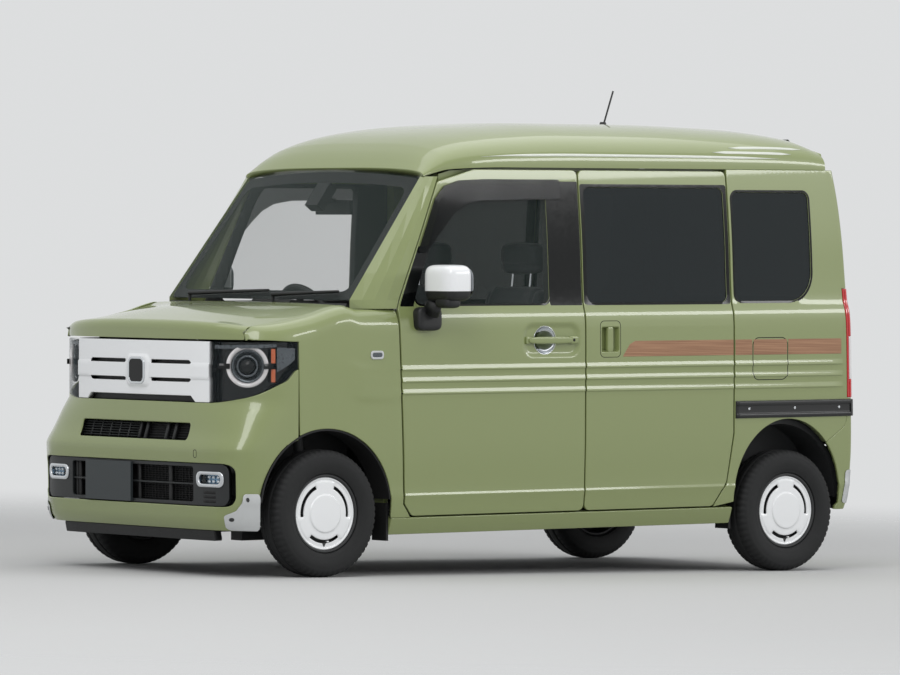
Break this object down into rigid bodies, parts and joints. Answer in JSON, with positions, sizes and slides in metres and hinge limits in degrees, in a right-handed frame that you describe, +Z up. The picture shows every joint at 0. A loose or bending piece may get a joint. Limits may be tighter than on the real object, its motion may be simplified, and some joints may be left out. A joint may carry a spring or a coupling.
{
  "type": "kei van",
  "caption": "Small tall kei van with a square cabin, hinged front doors, hood and tailgate, sliding side doors and steered front wheels.",
  "frame": {"origin": "on the ground under the middle of the car", "axes": "+X forward, +Y to the car's left, +Z up"},
  "size_m": [3.3976, 1.9, 2.1055],
  "materials": {
    "body_paint": "clear-coated khaki green paint",
    "white_trim": "white painted plastic",
    "black_trim": "moulded black plastic",
    "silver_trim": "pale silver plastic",
    "glass_clear": "lightly tinted glass",
    "glass_dark": "dark tinted glass",
    "tyre_rubber": "tyre rubber",
    "wheel_white": "white wheel cover on a steel wheel",
    "dark_steel": "black painted steel",
    "lamp_clear": "clear lamp lens",
    "lamp_red": "red lamp lens",
    "seat_fabric": "dark woven seat cloth",
    "dash_plastic": "grained dark plastic",
    "plate_gray": "bare painted plate"
  },
  "bodies": {
    "body": {"floor_pan": "dark_steel", "floor_beams": "dark_steel", "wheel_houses": "dark_steel", "sills": "body_paint", "pillar_rails": "body_paint", "quarters": "body_paint", "roof": "body_paint", "fenders": "body_paint", "arch_liners": "black_trim", "bulkhead": "dark_steel", "front_bumper": "body_paint", "bumper_insert": "black_trim", "grille": "white_trim", "headlamps": "lamp_clear", "fog_lamps": "lamp_clear", "corner_guards": "silver_trim", "front_plate": "plate_gray", "windshield": "glass_clear", "wipers": "black_trim", "slide_doors": "body_paint", "slide_glass": "glass_dark", "quarter_glass": "glass_dark", "rear_bumper": "body_paint", "tail_lamps": "lamp_red", "slide_rails": "black_trim", "dashboard": "dash_plastic", "front_seats": "seat_fabric", "rear_seat": "seat_fabric", "powertrain": "dark_steel", "underbody": "dark_steel", "front_suspension": "dark_steel", "rear_axle": "dark_steel", "interior_mirror": "black_trim", "antenna": "black_trim"},
    "hood": {"hood": "body_paint", "hood_hinges": "dark_steel"},
    "door_left": {"door_left": "body_paint", "door_glass_left": "glass_clear", "mirror_left": "white_trim", "visor_left": "black_trim"},
    "door_right": {"door_right": "body_paint", "door_glass_right": "glass_clear", "mirror_right": "white_trim", "visor_right": "black_trim"},
    "tailgate": {"tailgate": "body_paint", "tailgate_hinges": "black_trim", "tailgate_glass": "glass_dark"},
    "knuckle_left": {"knuckle_left": "dark_steel"},
    "knuckle_right": {"knuckle_right": "dark_steel"},
    "wheel_fl": {"tyre_fl": "tyre_rubber", "wheel_fl": "wheel_white"},
    "wheel_fr": {"tyre_fr": "tyre_rubber", "wheel_fr": "wheel_white"},
    "wheel_rl": {"tyre_rl": "tyre_rubber", "wheel_rl": "wheel_white"},
    "wheel_rr": {"tyre_rr": "tyre_rubber", "wheel_rr": "wheel_white"},
    "steering_wheel": {"steering_wheel": "dash_plastic"}
  },
  "joints": [
    {"name": "steer_left", "type": "hinge", "parent": "body", "child": "knuckle_left", "pos_m": [1.19827, 0.59, 0.265], "axis": [0, 0, 1], "range_deg": [-35, 35]},
    {"name": "steer_right", "type": "hinge", "parent": "body", "child": "knuckle_right", "pos_m": [1.19827, -0.59, 0.265], "axis": [0, 0, 1], "range_deg": [-35, 35]},
    {"name": "wheel_fl_spin", "type": "hinge", "parent": "knuckle_left", "child": "wheel_fl", "pos_m": [1.19827, 0.655, 0.265], "axis": [0, 1, 0], "continuous": true},
    {"name": "wheel_fr_spin", "type": "hinge", "parent": "knuckle_right", "child": "wheel_fr", "pos_m": [1.19827, -0.655, 0.265], "axis": [0, 1, 0], "continuous": true},
    {"name": "wheel_rl_spin", "type": "hinge", "parent": "body", "child": "wheel_rl", "pos_m": [-1.32173, 0.655, 0.265], "axis": [0, 1, 0], "continuous": true},
    {"name": "wheel_rr_spin", "type": "hinge", "parent": "body", "child": "wheel_rr", "pos_m": [-1.32173, -0.655, 0.265], "axis": [0, 1, 0], "continuous": true},
    {"name": "door_left_hinge", "type": "hinge", "parent": "body", "child": "door_left", "pos_m": [0.85027, 0.72, 0.70713], "axis": [-0.0616, 0, -0.9981], "range_deg": [0, 70]},
    {"name": "door_right_hinge", "type": "hinge", "parent": "body", "child": "door_right", "pos_m": [0.85027, -0.72, 0.70713], "axis": [0.0616, 0, 0.9981], "range_deg": [0, 70]},
    {"name": "hood_hinge", "type": "hinge", "parent": "body", "child": "hood", "pos_m": [1.09045, 0, 1.10639], "axis": [0, -1, 0], "range_deg": [0, 45]},
    {"name": "tailgate_hinge", "type": "hinge", "parent": "body", "child": "tailgate", "pos_m": [-1.55986, 0, 1.88974], "axis": [0, 1, 0], "range_deg": [0, 85]},
    {"name": "steering_turn", "type": "hinge", "parent": "body", "child": "steering_wheel", "pos_m": [0.51928, -0.33, 1.05384], "axis": [-0.8733, 0, 0.4871], "range_deg": [-490, 490]}
  ],
  "couplings": [
    {"joint": "steer_right", "follows": "steer_left", "ratio": 1},
    {"joint": "steering_turn", "follows": "steer_left", "ratio": 14}
  ]
}
